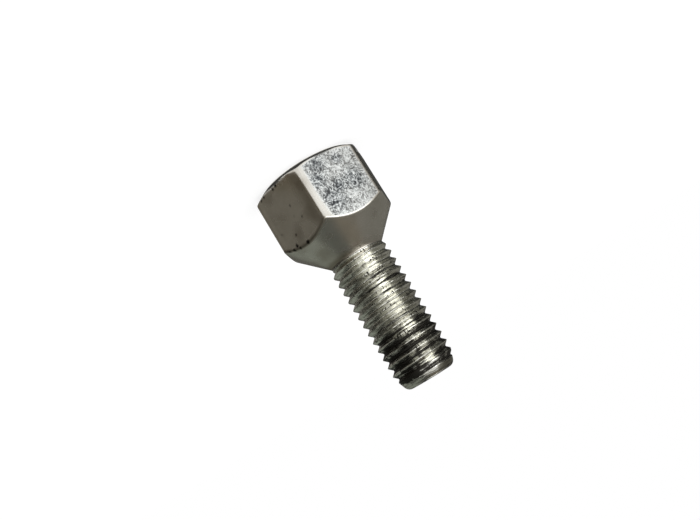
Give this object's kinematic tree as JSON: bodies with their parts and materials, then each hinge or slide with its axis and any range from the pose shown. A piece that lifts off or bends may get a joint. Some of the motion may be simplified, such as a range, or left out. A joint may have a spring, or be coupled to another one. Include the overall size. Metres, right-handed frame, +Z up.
{
  "type": "wheel bolt",
  "caption": "Hexagon-head wheel bolt with a conical seat under the head, a short neck, a coarse right-hand thread and a tapered point, standing on its head.",
  "frame": {"origin": "centre of the head's flat top, on the ground that the bolt stands on", "axes": "+Z up, along the bolt from head to point; +X square to one of the six flats"},
  "size_m": [0.021, 0.024, 0.0443],
  "materials": {
    "plated_steel": "bright plate over forged steel, worn and lightly pitted on the flats, grime in the thread"
  },
  "bodies": {
    "root": {"wheel_bolt": "plated_steel"}
  },
  "joints": []
}
